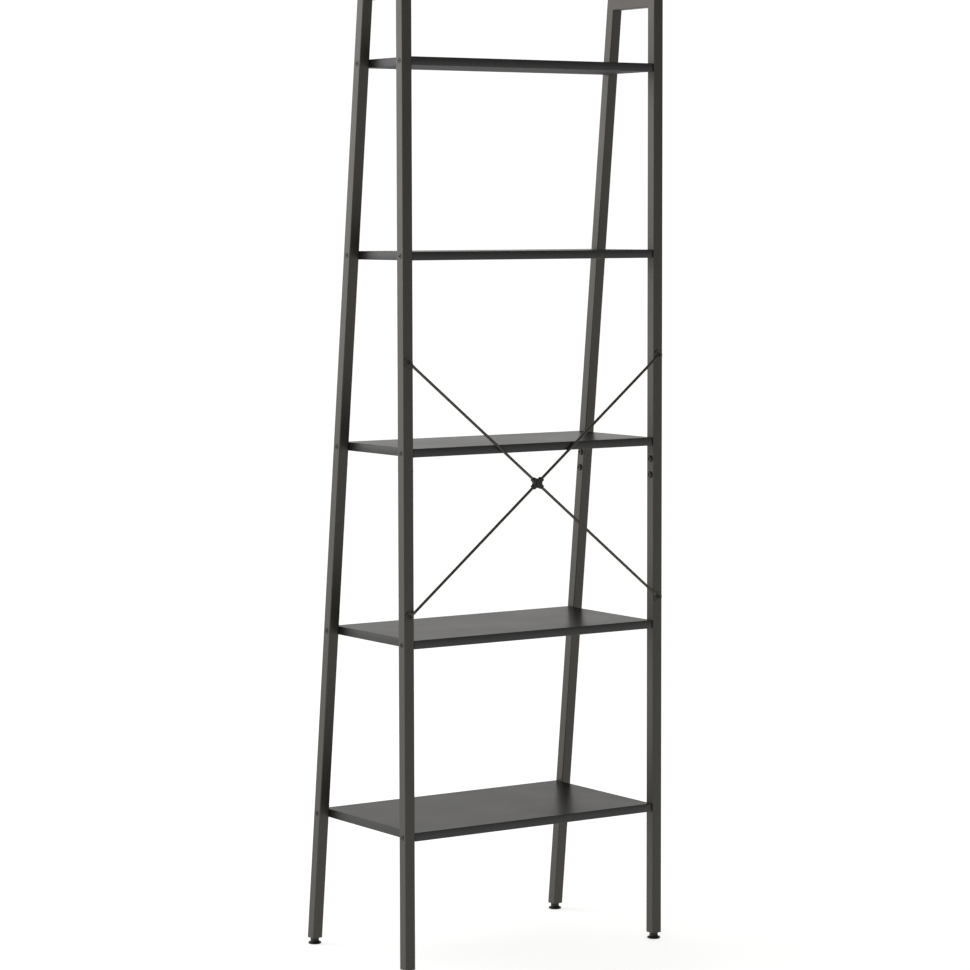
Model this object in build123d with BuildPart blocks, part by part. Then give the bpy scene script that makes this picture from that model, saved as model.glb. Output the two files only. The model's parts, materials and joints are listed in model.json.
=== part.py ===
from build123d import *
import os
from math import atan2, cos, degrees, hypot, radians, sin, tan

# Five-tier ladder shelf: two welded side frames of square tube, five boards
# bolted between them, a cross brace on the back and four levelling feet.
# Millimetres, +Z up. The straight rear posts stand on the +Y side and the
# leaning front posts on the -Y side. The origin is on the floor, under the
# middle of the shelf's bounding box.

os.makedirs("parts", exist_ok=True)

# ---------------------------------------------------------------- dimensions
frame_width = 559.0  # over the outer faces of the two side frames
frame_height = 1725.0  # floor to the top of the top bars
floor_depth = 337.3  # rear face to front face of a side frame, at the floor
lean = 6.42  # degrees that a front post leans back

tube = 20.0  # square tube, outside
wall = 1.0
tube_radius = 1.5  # outer corner radius of the tube
tube_hole_r = 3.3  # clearance hole in a tube wall
foot_height = 11.5  # floor to the cut ends of the posts
splice_height = 873.5  # seam between the lower and the upper posts

shelf_tops = [253.5, 592.5, 927.5, 1268.5, 1603.5]  # lowest board first
board_thickness = 15.0
board_side_gap = 0.4  # each end of a board to the side frame beside it
board_back_inset = 1.0  # rear edge of a board inside the posts' rear face
board_front_inset = 1.5  # front edge behind the front posts' front face
board_corner = 4.0
board_edge = 0.8

bolt_r = 2.95  # M6 shanks, threads left plain
tapped_r = 3.0  # hole that holds a shank
socket_r = 2.3  # 4 mm hexagon socket, corner radius
socket_depth = 2.0

shelf_bolt_length = 34.0
flat_head_r = 4.6  # low head of the bolts that hold the boards
flat_head_height = 0.7
flat_head_edge = 0.3
flat_socket_r = 1.75  # 3 mm hexagon socket, corner radius
insert_r = 4.5  # threaded insert pressed into a board's end
insert_length = 16.0
press_gap = 0.03  # insert or stem to the hole that grips it

button_head_r = 5.8
button_head_height = 2.8
button_head_edge = 1.2
splice_bolt_length = 9.0
splice_bolt_offset = 14.5  # seam to each splice bolt
sleeve_length = 70.0
sleeve_wall = 2.5
fit_gap = 0.2  # sleeve or plug to the bore of the tube around it

brace_top = 1077.5  # height of the brace's upper screws
brace_bottom = 635.0
rod_r = 2.5
rod_standoff = 2.7  # rear face of the posts to the rods' centre line
eye_r = 8.5  # flattened ring end of a rod
eye_thickness = 1.8
eye_gap = 0.1
eye_neck_start = 14.0  # where a rod starts to flatten, from the eye's centre
eye_neck_end = 5.4
eye_neck_width = 7.5
brace_screw_length = 10.0
brace_head_r = 4.6
brace_head_height = 1.6
brace_head_edge = 0.5
weld_nut_r = 5.8  # corner radius of the nut welded inside a rear post
weld_nut_height = 5.0

hub_reach = 13.2  # hub centre to the flat end of a lobe
hub_lobe_width = 7.8
hub_lobe_corner = 1.5
hub_waist_r = 8.6
hub_notch_r = 2.5  # hollow corner between a lobe and the waist
hub_half_thickness = 4.2
hub_edge = 0.9
hub_boss_r = 5.2
hub_boss_height = 1.0
hub_split = 0.1  # each shell to the plane where they meet
hub_screw_r = 1.5
hub_head_r = 3.0
hub_head_height = 1.8
hub_nut_r = 3.1
hub_nut_height = 2.0
hub_play = 0.1  # around a rod, screw or nut inside the hub
collar_r = 3.2  # upset collar that locks a rod inside the hub
collar_length = 2.0
collar_start = 7.0  # hub centre to the collar

plug_length = 20.0
stem_r = 3.0
stem_bottom = 3.0
stem_top = 36.0
foot_r = 12.0
foot_edge = 1.2
foot_disc_height = 3.4
foot_cone_r = 9.4  # foot of the cone, on top of the disc
foot_neck_r = 7.8
foot_neck_height = 4.4
foot_gap = 0.4  # foot screwed fully in: top of its neck to the post

# ------------------------------------------------------------ derived places
slope = tan(radians(lean))
lean_half = tube / 2 / cos(radians(lean))  # half a front post, measured level
rear_reach = rod_standoff + hub_split + hub_half_thickness + hub_boss_height
front_reach = floor_depth - lean_half - slope * foot_height / 2 + foot_r
rear_face = (front_reach - rear_reach) / 2  # Y of the rear posts' rear face
rear_line = rear_face - tube / 2
front_floor_line = rear_face - floor_depth + lean_half
post_x = frame_width / 2 - tube / 2
inner_x = frame_width / 2 - tube
top_line = frame_height - tube / 2
board_length = 2 * (inner_x - board_side_gap)
sleeve_size = tube - 2 * wall - 2 * fit_gap
rod_plane = rear_face + rod_standoff
hub_height = (brace_top + brace_bottom) / 2
rod_rise = (brace_top - brace_bottom) / 2
rod_angle = degrees(atan2(rod_rise, post_x))
rod_length = hypot(rod_rise, post_x)  # hub centre to eye centre

sides = [("left", -1), ("right", 1)]
levels = [("lower", -1), ("upper", 1)]
posts = [("rear", False), ("front", True)]
bolt_heights = [top - board_thickness / 2 for top in shelf_tops]
splice_heights = [splice_height - splice_bolt_offset, splice_height + splice_bolt_offset]


def post_line(leaning, height):
    """Y of a post's centre line at a height."""
    return front_floor_line + slope * height if leaning else rear_line


def post_plane(leaning, x, height):
    """Plane square to a post's centre line where it passes a height."""
    axis = (0, sin(radians(lean)), cos(radians(lean))) if leaning else (0, 0, 1)
    origin = (x, post_line(leaning, height), height)
    return Plane(origin=origin, x_dir=(1, 0, 0), z_dir=axis)


def facing_x(x, y, height, direction):
    """Plane at a point that faces +X or -X."""
    return Plane(origin=(x, y, height), x_dir=(0, direction, 0), z_dir=(direction, 0, 0))


def facing_back(x, y, height):
    """Plane at a point that faces the back of the shelf."""
    return Plane(origin=(x, y, height), x_dir=(-1, 0, 0), z_dir=(0, 1, 0))


def mitre_plane(leaning):
    """Plane of the mitre between a post and the top bar, facing the post."""
    down = -post_plane(leaning, 0, top_line).z_dir
    along_bar = Vector(0, 1 if leaning else -1, 0)
    origin = (0, post_line(leaning, top_line), top_line)
    return Plane(origin=origin, x_dir=(1, 0, 0), z_dir=down - along_bar)


def rod_direction(sign, level):
    """Unit vector from the hub along one of the four brace rods."""
    angle = radians(rod_angle)
    return Vector(sign * cos(angle), 0, level * sin(angle))


def rod_section(sign, level, distance, shift=0.0):
    """Plane across a brace rod, at a distance from the hub's centre."""
    along = rod_direction(sign, level)
    origin = Vector(0, rod_plane + shift, hub_height) + along * distance
    return Plane(origin=origin, x_dir=(0, 1, 0), z_dir=along)


def square_tube(size, thickness):
    """Draws the section of a square tube in the open sketch."""
    RectangleRounded(size, size, tube_radius)
    bore = size - 2 * thickness
    RectangleRounded(bore, bore, tube_radius / 2, mode=Mode.SUBTRACT)


def cut_hole(plane, radius, depth):
    """Cuts a round hole into the open part, along the plane's normal."""
    with BuildSketch(plane) as mouth:
        Circle(radius)
    extrude(mouth.sketch, amount=depth, mode=Mode.SUBTRACT)


def add_screw(seat, shank, head_r, head_height, head_edge, drive_r=socket_r):
    """Adds a socket-head screw; seat faces out of the piece it clamps."""
    with BuildSketch(seat) as head:
        Circle(head_r)
    extrude(head.sketch, amount=head_height)
    rims = edges(Select.LAST).filter_by(GeomType.CIRCLE)
    fillet(rims.sort_by(Axis(seat.origin, seat.z_dir))[-1], radius=head_edge)
    with BuildSketch(seat) as body:
        Circle(bolt_r)
    extrude(body.sketch, amount=-shank)
    with BuildSketch(seat.offset(head_height)) as socket:
        RegularPolygon(drive_r, 6)
    extrude(socket.sketch, amount=-socket_depth, mode=Mode.SUBTRACT)


def save(builder, name):
    """Labels a finished piece and writes its STEP file."""
    builder.part.label = name
    export_step(builder.part, f"parts/{name}.step")


# --------------------------------------------------------------- side frames
for side, sign in sides:
    x = sign * post_x
    for place, leaning in posts:
        for half, _ in levels:
            low = foot_height if half == "lower" else splice_height
            high = splice_height if half == "lower" else frame_height
            with BuildPart() as post:
                with BuildSketch(post_plane(leaning, x, low - tube)):
                    square_tube(tube, wall)
                extrude(amount=high - low + 3 * tube)
                split(bisect_by=Plane.XY.offset(low), keep=Keep.TOP)
                if half == "lower":
                    split(bisect_by=Plane.XY.offset(high), keep=Keep.BOTTOM)
                else:
                    split(bisect_by=mitre_plane(leaning), keep=Keep.TOP)
                for height in bolt_heights:
                    if low < height < high:
                        y = post_line(leaning, height)
                        cut_hole(facing_x(x + sign * tube, y, height, -sign), tube_hole_r, 2 * tube)
                for height in splice_heights:
                    if low < height < high:
                        y = post_line(leaning, height)
                        cut_hole(facing_x(x, y, height, -sign), tube_hole_r, tube)
                if not leaning:
                    height = brace_bottom if half == "lower" else brace_top
                    cut_hole(facing_back(x, rear_line, height), tube_hole_r, tube)
            save(post, f"{side}_{place}_post_{half}")

        # sleeve inside the splice, tapped on the side that faces the boards
        with BuildPart() as sleeve:
            with BuildSketch(post_plane(leaning, x, splice_height)):
                square_tube(sleeve_size, sleeve_wall)
            extrude(amount=sleeve_length / 2, both=True)
            for height in splice_heights:
                y = post_line(leaning, height)
                cut_hole(facing_x(x, y, height, -sign), tapped_r, tube)
        save(sleeve, f"{side}_{place}_splice_sleeve")

        with BuildPart() as splice_bolts:
            for height in splice_heights:
                seat = facing_x(x - sign * tube / 2, post_line(leaning, height), height, -sign)
                add_screw(seat, splice_bolt_length, button_head_r, button_head_height,
                          button_head_edge)
        save(splice_bolts, f"{side}_{place}_splice_bolts")

        with BuildPart() as shelf_bolts:
            for height in bolt_heights:
                seat = facing_x(x + sign * tube / 2, post_line(leaning, height), height, sign)
                add_screw(seat, shelf_bolt_length, flat_head_r, flat_head_height,
                          flat_head_edge, flat_socket_r)
        save(shelf_bolts, f"{side}_{place}_shelf_bolts")

    # short level bar that closes the frame at the top, mitred at both ends
    with BuildPart() as top_bar:
        with BuildSketch(Plane(origin=(x, 0, top_line), x_dir=(1, 0, 0), z_dir=(0, 1, 0))):
            square_tube(tube, wall)
        extrude(amount=front_reach, both=True)
        for place, leaning in posts:
            split(bisect_by=mitre_plane(leaning), keep=Keep.BOTTOM)
    save(top_bar, f"{side}_top_bar")

# -------------------------------------------------------------------- boards
for number, top in enumerate(shelf_tops, start=1):
    height = top - board_thickness / 2
    back = rear_face - board_back_inset
    front = post_line(True, top) - lean_half + board_front_inset
    with BuildPart() as board:
        with BuildSketch(Plane.XY.offset(top - board_thickness)):
            with Locations((0, (back + front) / 2)):
                RectangleRounded(board_length, back - front, board_corner)
        extrude(amount=board_thickness)
        layers = edges().group_by(Axis.Z)
        fillet(layers[0] + layers[-1], radius=board_edge)
        for side, sign in sides:
            for place, leaning in posts:
                seat = facing_x(sign * board_length / 2, post_line(leaning, height), height, -sign)
                cut_hole(seat, insert_r + press_gap, insert_length)
    save(board, f"shelf_{number}_board")

    with BuildPart() as inserts:
        for side, sign in sides:
            for place, leaning in posts:
                seat = facing_x(sign * board_length / 2, post_line(leaning, height), height, -sign)
                with BuildSketch(seat):
                    Circle(insert_r)
                    Circle(tapped_r, mode=Mode.SUBTRACT)
                extrude(amount=insert_length)
    save(inserts, f"shelf_{number}_inserts")

# --------------------------------------------------------------- cross brace
for side, sign in sides:
    for half, level in levels:
        eye_height = hub_height + level * rod_rise
        flat_shift = eye_gap + eye_thickness / 2 - rod_standoff
        with BuildPart() as rod:
            with BuildSketch(rod_section(sign, level, collar_start)):
                Circle(rod_r)
            extrude(amount=rod_length - eye_neck_start - collar_start)
            with BuildSketch(rod_section(sign, level, collar_start)):
                Circle(collar_r)
            extrude(amount=collar_length)
            with BuildSketch(rod_section(sign, level, rod_length - eye_neck_start)):
                Circle(rod_r)
            with BuildSketch(rod_section(sign, level, rod_length - eye_neck_end, flat_shift)):
                RectangleRounded(eye_thickness, eye_neck_width, eye_thickness / 3)
            loft()
            eye_seat = facing_back(sign * post_x, rear_face + eye_gap, eye_height)
            with BuildSketch(eye_seat):
                Circle(eye_r)
            extrude(amount=eye_thickness)
            cut_hole(eye_seat, tube_hole_r, 2 * eye_thickness)
        save(rod, f"brace_rod_{side}_{half}")

with BuildPart() as brace_screws:
    for side, sign in sides:
        for half, level in levels:
            seat_y = rear_face + eye_gap + eye_thickness
            seat = facing_back(sign * post_x, seat_y, hub_height + level * rod_rise)
            add_screw(seat, brace_screw_length, brace_head_r, brace_head_height,
                      brace_head_edge)
save(brace_screws, "brace_screws")

with BuildPart() as weld_nuts:
    for side, sign in sides:
        for half, level in levels:
            nut_y = rear_face - wall - weld_nut_height
            with BuildSketch(facing_back(sign * post_x, nut_y, hub_height + level * rod_rise)):
                RegularPolygon(weld_nut_r, 6)
                Circle(tapped_r, mode=Mode.SUBTRACT)
            extrude(amount=weld_nut_height)
save(weld_nuts, "brace_weld_nuts")

# two shells of the hub, clamped round the inner ends of the four rods
for name, outward in (("hub_back_shell", 1), ("hub_front_shell", -1)):
    with BuildPart() as shell:
        with BuildSketch(facing_back(0, rod_plane + outward * hub_split, hub_height)):
            for turn in (rod_angle, -rod_angle):
                RectangleRounded(2 * hub_reach, hub_lobe_width, hub_lobe_corner, rotation=turn)
            Circle(hub_waist_r)
            notches = vertices().filter_by(lambda v: abs(Vector(v).length - hub_waist_r) < 0.01)
            fillet(notches, radius=hub_notch_r)
        extrude(amount=outward * hub_half_thickness)
        outer_faces = faces().sort_by(Axis.Y)
        outer_face = outer_faces[-1] if outward > 0 else outer_faces[0]
        fillet(outer_face.edges(), radius=hub_edge)
        outer_y = rod_plane + outward * (hub_split + hub_half_thickness)
        if outward > 0:
            with BuildSketch(facing_back(0, outer_y, hub_height)):
                Circle(hub_boss_r)
            extrude(amount=hub_boss_height)
        for side, sign in sides:
            for half, level in levels:
                near = collar_start - hub_play
                cut_hole(rod_section(sign, level, near), rod_r + hub_play, hub_reach)
                pocket = collar_length + 2 * hub_play
                cut_hole(rod_section(sign, level, near), collar_r + hub_play, pocket)
        bore = facing_back(0, rod_plane - hub_reach, hub_height)
        cut_hole(bore, hub_screw_r + hub_play, 2 * hub_reach)
        if outward > 0:
            head_seat = outer_y + hub_boss_height - hub_head_height
            cut_hole(facing_back(0, head_seat, hub_height), hub_head_r + hub_play, hub_head_height)
        else:
            with BuildSketch(facing_back(0, outer_y, hub_height)):
                RegularPolygon(hub_nut_r + hub_play, 6)
            extrude(amount=hub_nut_height, mode=Mode.SUBTRACT)
    save(shell, name)

hub_front_y = rod_plane - hub_split - hub_half_thickness
hub_back_y = rod_plane + hub_split + hub_half_thickness + hub_boss_height

with BuildPart() as hub_screw:
    with BuildSketch(facing_back(0, hub_front_y, hub_height)):
        Circle(hub_screw_r)
    extrude(amount=hub_back_y - hub_front_y - hub_head_height)
    with BuildSketch(facing_back(0, hub_back_y - hub_head_height, hub_height)):
        Circle(hub_head_r)
    extrude(amount=hub_head_height)
    with BuildSketch(facing_back(0, hub_back_y, hub_height)):
        RegularPolygon(hub_screw_r, 6)
    extrude(amount=-hub_head_height / 2, mode=Mode.SUBTRACT)
save(hub_screw, "hub_screw")

with BuildPart() as hub_nut:
    with BuildSketch(facing_back(0, hub_front_y, hub_height)):
        RegularPolygon(hub_nut_r, 6)
        Circle(hub_screw_r + press_gap, mode=Mode.SUBTRACT)
    extrude(amount=hub_nut_height)
save(hub_nut, "hub_nut")

# ------------------------------------------------------------ levelling feet
for side, sign in sides:
    x = sign * post_x
    for place, leaning in posts:
        foot_y = post_line(leaning, foot_height / 2)
        with BuildPart() as plug:
            with BuildSketch(post_plane(leaning, x, foot_height - tube / 4)):
                RectangleRounded(sleeve_size, sleeve_size, tube_radius / 2)
            extrude(amount=plug_length + tube / 4)
            split(bisect_by=Plane.XY.offset(foot_height), keep=Keep.TOP)
            cut_hole(Plane((x, foot_y, 0)), stem_r + press_gap, stem_top + plug_length)
        save(plug, f"{side}_{place}_foot_plug")

        neck_top = foot_height - foot_gap
        with BuildPart() as base:
            with BuildSketch(Plane((x, foot_y, 0))):
                Circle(foot_r)
            extrude(amount=foot_disc_height)
            fillet(edges().group_by(Axis.Z)[-1], radius=foot_edge)
            fillet(edges().group_by(Axis.Z)[0], radius=foot_edge / 2)
            with BuildSketch(Plane((x, foot_y, foot_disc_height))):
                Circle(foot_cone_r)
            with BuildSketch(Plane((x, foot_y, neck_top - foot_neck_height))):
                Circle(foot_neck_r)
            loft()
            with BuildSketch(Plane((x, foot_y, neck_top - foot_neck_height))):
                Circle(foot_neck_r)
            extrude(amount=foot_neck_height)
            cut_hole(Plane((x, foot_y, stem_bottom)), stem_r + press_gap, foot_height)
        save(base, f"{side}_{place}_foot_base")

        with BuildPart() as stem:
            with BuildSketch(Plane((x, foot_y, stem_bottom))):
                Circle(stem_r)
            extrude(amount=stem_top - stem_bottom)
            chamfer(edges().group_by(Axis.Z)[-1], length=stem_r / 4)
        save(stem, f"{side}_{place}_foot_stem")
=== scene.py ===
import json
from math import pi, radians

import bpy
from mathutils import Matrix, Vector


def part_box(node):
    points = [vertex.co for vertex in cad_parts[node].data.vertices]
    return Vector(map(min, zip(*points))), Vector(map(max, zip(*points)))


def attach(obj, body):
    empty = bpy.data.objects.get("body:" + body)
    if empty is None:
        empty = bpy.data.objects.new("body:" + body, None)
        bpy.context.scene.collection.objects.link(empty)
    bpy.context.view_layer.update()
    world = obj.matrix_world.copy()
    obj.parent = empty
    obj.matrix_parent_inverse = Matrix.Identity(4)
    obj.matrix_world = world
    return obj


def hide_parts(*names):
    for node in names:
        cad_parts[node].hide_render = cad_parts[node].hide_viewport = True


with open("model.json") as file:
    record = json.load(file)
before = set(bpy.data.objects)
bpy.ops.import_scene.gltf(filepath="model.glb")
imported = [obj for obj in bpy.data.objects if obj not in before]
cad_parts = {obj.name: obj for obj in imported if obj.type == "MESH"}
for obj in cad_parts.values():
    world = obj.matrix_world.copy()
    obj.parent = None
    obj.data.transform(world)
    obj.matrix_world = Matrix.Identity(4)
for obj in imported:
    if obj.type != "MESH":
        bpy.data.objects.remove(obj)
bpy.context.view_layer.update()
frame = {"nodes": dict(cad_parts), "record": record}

# A five-tier ladder shelf: black powder-coated square tube, black foil-faced
# boards, a rod brace with a nylon hub, and screwed feet. Metres throughout.

MM = 0.001

board_corner = 4.0 * MM  # radius of a board's upright corners
board_arris = 0.8 * MM  # eased edge round its top and underside
band_edge = 0.4 * MM  # flat edge of the band beside the foil
seam = 0.15 * MM  # half the width of the groove between band and foil
seam_depth = 0.12 * MM

floor_width = 120
brightest_way = (0.56, -0.83, 0.0)
softbox_place = Vector((2.6, -3.2, 2.3))
softbox_aim = Vector((0, 0, 1.3))
softbox_side = 2.8
softbox_power = 44
camera_place = (3.3335, 4.9582, 1.3304)
camera_heading, camera_pitch, camera_roll = radians(146.079), radians(4.675), radians(-0.132)
camera_lens = 122.24


# ---------------------------------------------------------------- materials
def linear(code):
    """Linear RGBA of an sRGB hex colour such as "#1a2b3c"."""
    channels = [int(code[i:i + 2], 16) / 255 for i in (1, 3, 5)]
    return [c / 12.92 if c <= 0.04045 else ((c + 0.055) / 1.055) ** 2.4 for c in channels] + [1]


def add(tree, kind, inputs=None, stops=(), **settings):
    """Adds a node with its settings, its values or links, and the stops of a ramp."""
    made = tree.nodes.new(kind)
    for name, value in settings.items():
        setattr(made, name, value)
    for name, value in (inputs or {}).items():
        source = value.outputs[0] if isinstance(value, bpy.types.Node) else value
        if isinstance(source, bpy.types.NodeSocket):
            tree.links.new(source, made.inputs[name])
        else:
            made.inputs[name].default_value = source
    for number, (position, colour) in enumerate(stops):
        made.color_ramp.elements[number].position = position
        made.color_ramp.elements[number].color = linear(colour)
    return made


def start_material(name):
    """A new material, its node tree, and the place on the piece that patterns follow."""
    material = bpy.data.materials.new(name)
    material.use_nodes = True
    tree = material.node_tree
    tree.nodes.clear()
    return material, tree, add(tree, "ShaderNodeTexCoord").outputs["Object"]


def coat(tree, inputs):
    """Ends a material with its surface."""
    surface = add(tree, "ShaderNodeBsdfPrincipled", inputs)
    add(tree, "ShaderNodeOutputMaterial", {"Surface": surface})


def powder_coated_steel():
    """Sprayed polyester powder, baked: satin warm black with a faint orange peel."""
    material, tree, place = start_material("powder_coated_steel")
    # the film drifts in thickness over 90 mm, and the peel's lumps are near 1.8 mm
    drift = add(tree, "ShaderNodeTexNoise", {"Vector": place, "Scale": 1 / (90 * MM), "Detail": 1})
    colour = add(tree, "ShaderNodeValToRGB", {"Fac": drift}, ((0.3, "#1e1c18"), (0.7, "#23211c")))
    dullness = add(tree, "ShaderNodeMapRange", {"Value": drift, "To Min": 0.44, "To Max": 0.52})
    peel = add(tree, "ShaderNodeTexNoise", {"Vector": place, "Scale": 1 / (1.8 * MM), "Detail": 2})
    bump = add(tree, "ShaderNodeBump", {"Height": peel, "Strength": 0.15, "Distance": 0.08 * MM})
    coat(tree, {"Base Color": colour, "Roughness": dullness, "Normal": bump,
                "Specular IOR Level": 0.72, "Specular Tint": linear("#fff8f0")})
    return material


def board_paper(name, dark, light, glossiest, dullest, specular):
    """Printed paper pressed on particle board, with shallow pores along its length."""
    material, tree, place = start_material(name)
    # a pore is 3 mm across and 75 mm long, and the gloss drifts over 120 mm
    along = add(tree, "ShaderNodeMapping", {"Vector": place, "Scale": (3 / 75, 1, 1)})
    pores = add(tree, "ShaderNodeTexNoise", {"Vector": along, "Scale": 1 / (3 * MM), "Detail": 4})
    colour = add(tree, "ShaderNodeValToRGB", {"Fac": pores}, ((0.3, dark), (0.7, light)))
    cloud = add(tree, "ShaderNodeTexNoise", {"Vector": place, "Scale": 1 / (120 * MM), "Detail": 2})
    dullness = add(tree, "ShaderNodeMapRange",
                   {"Value": cloud, "To Min": glossiest, "To Max": dullest})
    bump = add(tree, "ShaderNodeBump", {"Height": pores, "Strength": 0.10, "Distance": 0.05 * MM})
    coat(tree, {"Base Color": colour, "Roughness": dullness, "Normal": bump,
                "Specular IOR Level": specular})
    return material


def melamine_foil():
    """Black melamine on the upper side of a board: soft satin, brighter at a low angle."""
    return board_paper("melamine_foil", "#161616", "#1d1d1d", 0.29, 0.36, 0.12)


def backing_paper():
    """Unlacquered black paper on the underside of a board: flat and dull."""
    return board_paper("backing_paper", "#171717", "#1e1e1e", 0.62, 0.72, 0.2)


def abs_edge_band():
    """Extruded black ABS strip glued round a board: plain, a little duller than foil."""
    material, tree, place = start_material("abs_edge_band")
    # marks of the die are near 6 mm, and its fine grain near 0.6 mm
    marks = add(tree, "ShaderNodeTexNoise", {"Vector": place, "Scale": 1 / (6 * MM), "Detail": 2})
    colour = add(tree, "ShaderNodeValToRGB", {"Fac": marks}, ((0.3, "#141414"), (0.7, "#1a1a1a")))
    dullness = add(tree, "ShaderNodeMapRange", {"Value": marks, "To Min": 0.40, "To Max": 0.50})
    grain = add(tree, "ShaderNodeTexNoise", {"Vector": place, "Scale": 1 / (0.6 * MM), "Detail": 2})
    bump = add(tree, "ShaderNodeBump", {"Height": grain, "Strength": 0.12, "Distance": 0.04 * MM})
    coat(tree, {"Base Color": colour, "Roughness": dullness, "Normal": bump,
                "Specular IOR Level": 0.55})
    return material


def bare_metal(name, cloud_size, dark, light, glossiest, dullest):
    """Metal that shows itself, its colour and gloss clouded by the bath it was dipped in."""
    material, tree, place = start_material(name)
    cloud = add(tree, "ShaderNodeTexNoise",
                {"Vector": place, "Scale": 1 / (cloud_size * MM), "Detail": 3})
    colour = add(tree, "ShaderNodeValToRGB", {"Fac": cloud}, ((0.3, dark), (0.7, light)))
    dullness = add(tree, "ShaderNodeMapRange",
                   {"Value": cloud, "To Min": glossiest, "To Max": dullest})
    coat(tree, {"Base Color": colour, "Roughness": dullness, "Metallic": 1.0})
    return material


def black_oxide_steel():
    """Blackened and oiled steel of the bolts: dark metal with a dull gleam."""
    return bare_metal("black_oxide_steel", 4, "#3a3835", "#474541", 0.38, 0.48)


def zinc_plated_steel():
    """Bright zinc on turned steel: pale metal with a clear gleam."""
    return bare_metal("zinc_plated_steel", 3, "#a7a9ab", "#c6c8c9", 0.24, 0.34)


def moulded_nylon():
    """Black nylon from a spark-eroded mould: fine matt grain."""
    material, tree, place = start_material("moulded_nylon")
    # the mould's pits are near 0.3 mm and drawn at 0.8 mm, so that they show
    grain = add(tree, "ShaderNodeTexNoise", {"Vector": place, "Scale": 1 / (0.8 * MM), "Detail": 2})
    colour = add(tree, "ShaderNodeValToRGB", {"Fac": grain}, ((0.3, "#141413"), (0.7, "#1b1b19")))
    dullness = add(tree, "ShaderNodeMapRange", {"Value": grain, "To Min": 0.42, "To Max": 0.54})
    bump = add(tree, "ShaderNodeBump", {"Height": grain, "Strength": 0.2, "Distance": 0.05 * MM})
    coat(tree, {"Base Color": colour, "Roughness": dullness, "Normal": bump,
                "Specular IOR Level": 0.4})
    return material


foil = melamine_foil()
backing = backing_paper()
edge_band = abs_edge_band()
nylon = moulded_nylon()
zinc = zinc_plated_steel()
finishes = {
    "black_powder_coat": powder_coated_steel(),
    "black_laminate_board": foil,
    "black_oxide_steel": black_oxide_steel(),
    "zinc_plated_steel": zinc,
    "black_nylon": nylon,
}
slots = {s["node"]: s["material_slot"] for s in frame["record"]["subparts"]}
for name, node in frame["nodes"].items():
    for material_slot in node.material_slots:
        material_slot.material = finishes[slots[name]]


# ------------------------------------------------------------------- pieces
def clear_bench():
    """Leaves nothing selected, so that the next primitive is worked on alone."""
    bpy.ops.object.select_all(action="DESELECT")


def choose(piece, wanted, kind="FACE"):
    """Selects the faces or edges of a piece in edit mode that pass a test."""
    bpy.ops.mesh.select_mode(type=kind)
    bpy.ops.mesh.select_all(action="DESELECT")
    bpy.ops.object.mode_set(mode="OBJECT")
    mesh = piece.data
    for element in mesh.polygons if kind == "FACE" else mesh.edges:
        element.select = wanted(mesh, element)
    bpy.ops.object.mode_set(mode="EDIT")


def stands_up(mesh, edge):
    """Whether an edge is vertical."""
    start, end = (mesh.vertices[i].co for i in edge.vertices)
    return (start - end).xy.length < 0.01 * MM


def is_level(mesh, face):
    """Whether a face is the flat top or underside of a board."""
    return abs(face.normal.z) > 0.99 and face.area > 0.01


def hand_over(piece, name, body, node, angle=30):
    """Names a finished piece and lets it stand for its CAD node."""
    piece.name = piece.data.name = name
    bpy.ops.object.shade_smooth_by_angle(angle=radians(angle))
    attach(piece, body)
    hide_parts(node)


def board(number):
    """A foil-faced board with a glued edge band, its arrises eased."""
    low, high = (Vector(corner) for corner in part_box(f"shelf_{number}_board"))
    clear_bench()
    bpy.ops.mesh.primitive_cube_add(size=1, location=(low + high) / 2, scale=high - low)
    piece = bpy.context.object
    bpy.ops.object.transform_apply()
    bpy.ops.object.mode_set(mode="EDIT")
    choose(piece, stands_up, "EDGE")
    bpy.ops.mesh.bevel(offset=board_corner, segments=6)
    choose(piece, is_level)
    bpy.ops.mesh.region_to_loop()
    bpy.ops.mesh.bevel(offset=board_arris, segments=3)
    # the band's flat edge, then the hairline seam between it and the foil
    choose(piece, is_level)
    for thickness, depth in ((band_edge, 0), (seam, -seam_depth), (seam, seam_depth)):
        bpy.ops.mesh.inset(thickness=thickness, depth=depth)
    bpy.ops.object.mode_set(mode="OBJECT")
    for material in (edge_band, foil, backing):
        piece.data.materials.append(material)
    for face in piece.data.polygons:
        if is_level(piece.data, face):
            face.material_index = 1 if face.normal.z > 0 else 2
    hand_over(piece, f"shelf_{number}_banded_board", "shelf",
              f"shelf_{number}_board")


def turned(rings, sides, material):
    """A round piece on the middle line, ring by ring; each is a radius and a height in mm."""
    (radius, height), *rest = rings
    clear_bench()
    bpy.ops.mesh.primitive_circle_add(vertices=sides, radius=radius * MM, fill_type="NGON",
                                      location=(0, 0, height * MM))
    piece = bpy.context.object
    bpy.ops.object.transform_apply()
    bpy.ops.object.mode_set(mode="EDIT")
    bpy.ops.mesh.select_all(action="SELECT")
    for wider, higher in rest:
        rise = (0, 0, (higher - height) * MM)
        bpy.ops.mesh.extrude_region_move(TRANSFORM_OT_translate={"value": rise})
        growth = wider / radius
        bpy.ops.transform.resize(value=(growth, growth, 1), center_override=(0, 0, 0))
        radius, height = wider, higher
    bpy.ops.mesh.select_all(action="SELECT")
    bpy.ops.mesh.normals_make_consistent(inside=False)
    bpy.ops.object.mode_set(mode="OBJECT")
    piece.data.materials.append(material)
    return piece


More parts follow.
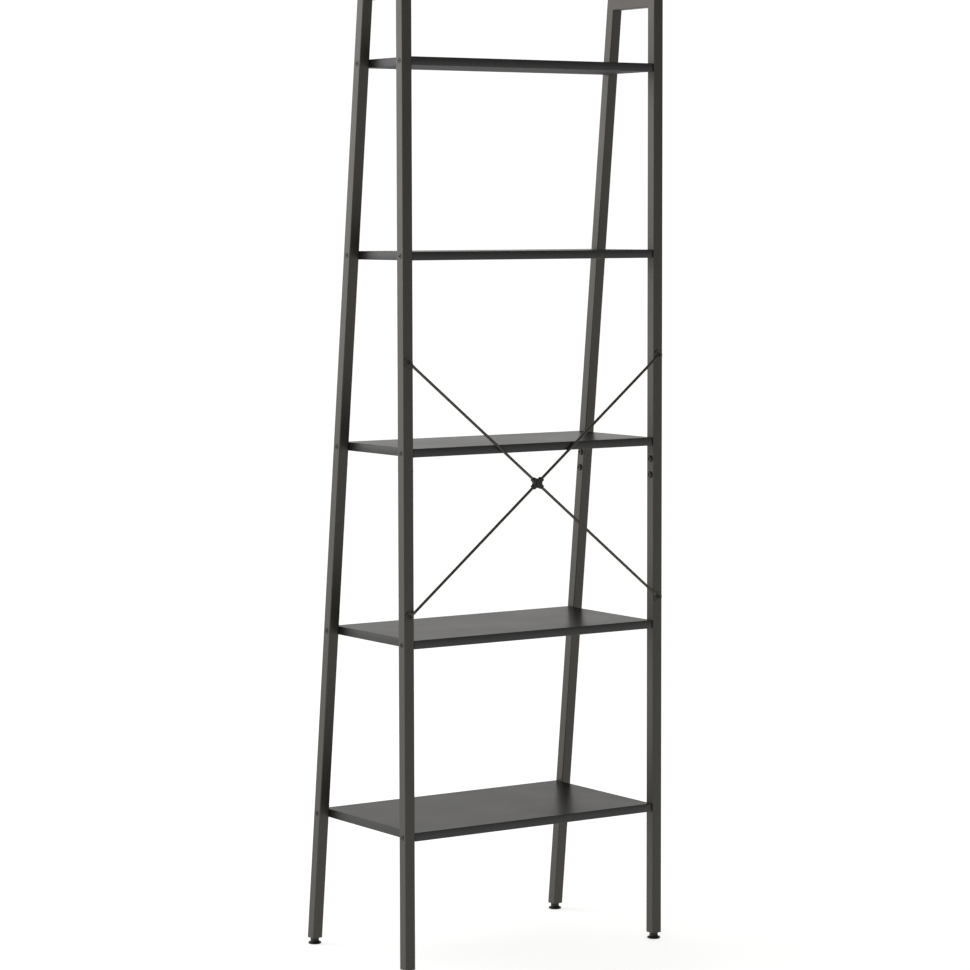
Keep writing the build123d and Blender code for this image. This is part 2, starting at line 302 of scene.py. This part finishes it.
def copy_under(original, node):
    """A copy of a piece with a mesh of its own, moved from the middle line to a node's."""
    low, high = (Vector(corner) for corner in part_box(node))
    clear_bench()
    original.select_set(True)
    bpy.context.view_layer.objects.active = original
    bpy.ops.object.duplicate()
    bpy.ops.transform.translate(value=((low.x + high.x) / 2, (low.y + high.y) / 2, 0))
    bpy.ops.object.transform_apply()
    return bpy.context.object


# from the middle of its sole: hollow, rounded disc, waisted neck, and the bore for the stem
foot_rings = [(8.5, 0.6), (9.1, 0.0), (10.9, 0.0), (11.6, 0.3), (11.98, 1.1), (11.98, 2.2),
              (11.7, 2.9), (11.0, 3.4), (9.8, 3.7), (8.8, 4.3), (8.1, 5.2), (7.9, 6.2), (7.8, 7.2),
              (7.8, 10.6), (7.4, 11.0), (3.1, 11.1), (3.1, 6.0)]

# M6 stem: a level crest every millimetre, then a plain chamfered end
stem_foot, stem_top, thread_turns = 6.0, 36.0, 28
core_r, crest_r = 2.5, 2.98
stem_rings = [(core_r, stem_foot)]
for turn in range(thread_turns):
    root = stem_foot + turn
    stem_rings += [(crest_r, root + 0.4), (crest_r, root + 0.6), (core_r, root + 1.0)]
stem_rings += [(2.9, stem_top - 1.5), (2.9, stem_top - 0.7), (2.2, stem_top)]

pad = turned(foot_rings, 64, nylon)
stem = turned(stem_rings, 32, zinc)
for foot in (f"{side}_{place}_foot" for side in ("left", "right") for place in ("rear", "front")):
    hand_over(copy_under(pad, f"{foot}_base"), f"{foot}_pad", foot, f"{foot}_base")
    hand_over(copy_under(stem, f"{foot}_base"), f"{foot}_threaded_stem", foot,
              f"{foot}_stem", 20)
for original in (pad, stem):
    bpy.data.objects.remove(original)

for number in range(1, 6):
    board(number)


# ------------------------------------------------------------------- studio
def studio_floor():
    """A plain pale floor, lit a little from within, as on a light table."""
    clear_bench()
    bpy.ops.mesh.primitive_plane_add(size=floor_width)
    floor = bpy.context.object
    floor.name = "studio_floor"
    material, tree, _ = start_material("matt_studio_floor")
    coat(tree, {"Base Color": linear("#e4e4e2"), "Roughness": 0.9, "Specular IOR Level": 0.1,
                "Emission Color": linear("#ffffff"), "Emission Strength": 0.71})
    floor.data.materials.append(material)


def studio_room():
    """A room brightest at the front right and dim overhead, and white where it is seen."""
    world = bpy.data.worlds.new("studio")
    bpy.context.scene.world = world
    world.use_nodes = True
    tree = world.node_tree
    tree.nodes.clear()
    way = add(tree, "ShaderNodeTexCoord").outputs["Generated"]
    facing = add(tree, "ShaderNodeVectorMath", {0: way, 1: brightest_way}, operation="DOT_PRODUCT")
    by_heading = add(tree, "ShaderNodeMapRange",
                     {"Value": facing.outputs["Value"], "From Min": -1, "To Min": 0.10, "To Max": 1.3})
    upward = add(tree, "ShaderNodeSeparateXYZ", {"Vector": way}).outputs["Z"]
    by_height = add(tree, "ShaderNodeMapRange",
                    {"Value": upward, "From Max": 0.3, "To Min": 1.5, "To Max": 0.6})
    power = add(tree, "ShaderNodeMath", {0: by_heading, 1: by_height}, operation="MULTIPLY")
    room = add(tree, "ShaderNodeBackground", {"Color": linear("#fffefb"), "Strength": power})
    backdrop = add(tree, "ShaderNodeBackground", {"Color": linear("#ffffff"), "Strength": 1.05})
    seen = add(tree, "ShaderNodeLightPath").outputs["Is Camera Ray"]
    mixed = add(tree, "ShaderNodeMixShader", {"Fac": seen, 1: room, 2: backdrop})
    add(tree, "ShaderNodeOutputWorld", {"Surface": mixed})


def softbox():
    """A square softbox high at the front right, unseen by the camera."""
    lamp = bpy.data.lights.new("side_softbox", "AREA")
    lamp.size = softbox_side
    lamp.energy = softbox_power
    made = bpy.data.objects.new("side_softbox", lamp)
    bpy.context.scene.collection.objects.link(made)
    made.location = softbox_place
    made.rotation_euler = (softbox_aim - softbox_place).to_track_quat("-Z", "Y").to_euler()
    made.visible_camera = False


def camera():
    """Long lens at the rear right of the shelf, a little above its middle."""
    lens = bpy.data.cameras.new("camera")
    lens.sensor_width = 36
    lens.lens = camera_lens
    lens.clip_end = 200
    made = bpy.data.objects.new("camera", lens)
    bpy.context.scene.collection.objects.link(made)
    turn = Matrix.Rotation(camera_heading, 4, "Z") @ Matrix.Rotation(pi / 2 - camera_pitch, 4, "X")
    tilt = Matrix.Rotation(camera_roll, 4, "Z")
    made.matrix_world = Matrix.Translation(camera_place) @ turn @ tilt
    bpy.context.scene.camera = made


studio_floor()
studio_room()
softbox()
camera()
bpy.context.scene.view_settings.view_transform = "Standard"
